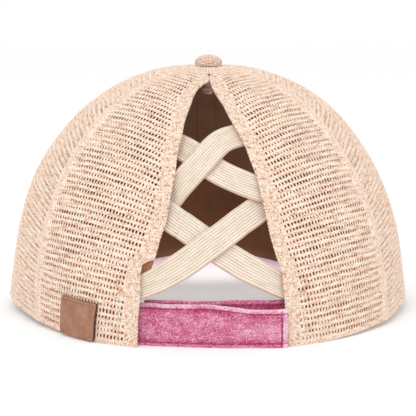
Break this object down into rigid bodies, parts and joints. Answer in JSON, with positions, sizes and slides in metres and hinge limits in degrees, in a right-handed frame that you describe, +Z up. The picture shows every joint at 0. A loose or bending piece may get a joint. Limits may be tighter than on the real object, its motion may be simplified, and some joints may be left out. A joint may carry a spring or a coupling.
{
  "type": "ponytail baseball cap",
  "caption": "Baseball cap of knitted mesh panels with an open back crossed by elastic bands, a denim strap and a curved brim.",
  "frame": {"origin": "the middle of the underside of the cap's box, on the surface it rests on", "axes": "+Z up, +Y to the open back, -Y to the brim, +X to the wearer's left"},
  "size_m": [0.187, 0.263, 0.1196],
  "materials": {
    "mesh_knit": "open knit mesh, cream and peach melange yarn",
    "dense_knit": "close knit, cream and peach melange yarn",
    "lining": "smooth brown woven lining",
    "sweatband": "brown woven sweatband",
    "denim": "washed pink denim, faded at edges and stitches",
    "elastic": "ribbed cream elastic",
    "leather": "matt brown leather, bare",
    "rivet": "worn brown metal"
  },
  "bodies": {
    "root": {"back_panel_left": "mesh_knit", "back_panel_right": "mesh_knit", "side_panel_left": "mesh_knit", "side_panel_right": "mesh_knit", "front_panel_left": "mesh_knit", "front_panel_right": "mesh_knit", "opening_hem_left": "dense_knit", "opening_hem_right": "dense_knit", "top_button": "dense_knit", "front_lining_left": "lining", "front_lining_right": "lining", "front_seam_tape": "lining", "sweatband": "sweatband", "brim": "denim", "strap_outer": "denim", "strap_inner": "denim", "elastic_upper_over": "elastic", "elastic_upper_under": "elastic", "elastic_lower_over": "elastic", "elastic_lower_under": "elastic", "leather_label": "leather", "button_rivet": "rivet"}
  },
  "joints": []
}
